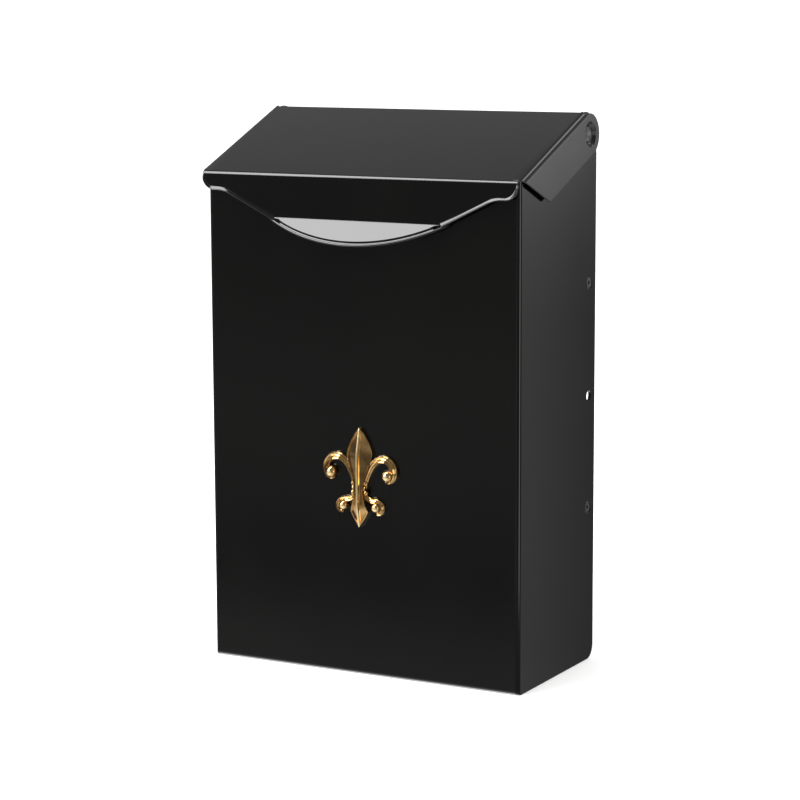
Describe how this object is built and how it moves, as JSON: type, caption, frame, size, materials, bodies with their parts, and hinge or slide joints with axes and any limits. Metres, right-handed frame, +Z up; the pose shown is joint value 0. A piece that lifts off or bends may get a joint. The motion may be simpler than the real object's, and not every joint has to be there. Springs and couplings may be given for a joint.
{
  "type": "wall mounted mailbox",
  "caption": "Upright wall mounted letter box in gloss black sheet steel, with a sloping lift-up lid, a flared finger pull and a gold fleur-de-lis emblem on the front.",
  "frame": {"origin": "in the wall plane, at the middle of the four wall screws", "axes": "+X to the right seen from the front, +Y into the wall, +Z up"},
  "size_m": [0.16, 0.0877, 0.2484],
  "materials": {
    "black_gloss_paint": "gloss black powder coat on steel sheet",
    "black_hinge_studs": "gloss black painted steel, a little worn where the lid turns",
    "black_rivets": "gloss black painted hollow rivets",
    "polished_gold": "polished gold-coloured plating on a zinc casting",
    "spring_steel": "plain spring steel"
  },
  "bodies": {
    "box": {"body_shell": "black_gloss_paint", "back_panel": "black_gloss_paint", "hinge_stud_left": "black_hinge_studs", "hinge_stud_right": "black_hinge_studs", "back_rivet_left_lower": "black_rivets", "back_rivet_left_upper": "black_rivets", "back_rivet_right_lower": "black_rivets", "back_rivet_right_upper": "black_rivets", "emblem": "polished_gold", "push_nut_lower": "spring_steel", "push_nut_upper": "spring_steel"},
    "lid": {"lid": "black_gloss_paint"}
  },
  "joints": [
    {"name": "lid_hinge", "type": "hinge", "parent": "box", "child": "lid", "pos_m": [0, -0.0115, 0.11694], "axis": [-1, 0, 0], "range_deg": [0, 105]}
  ]
}
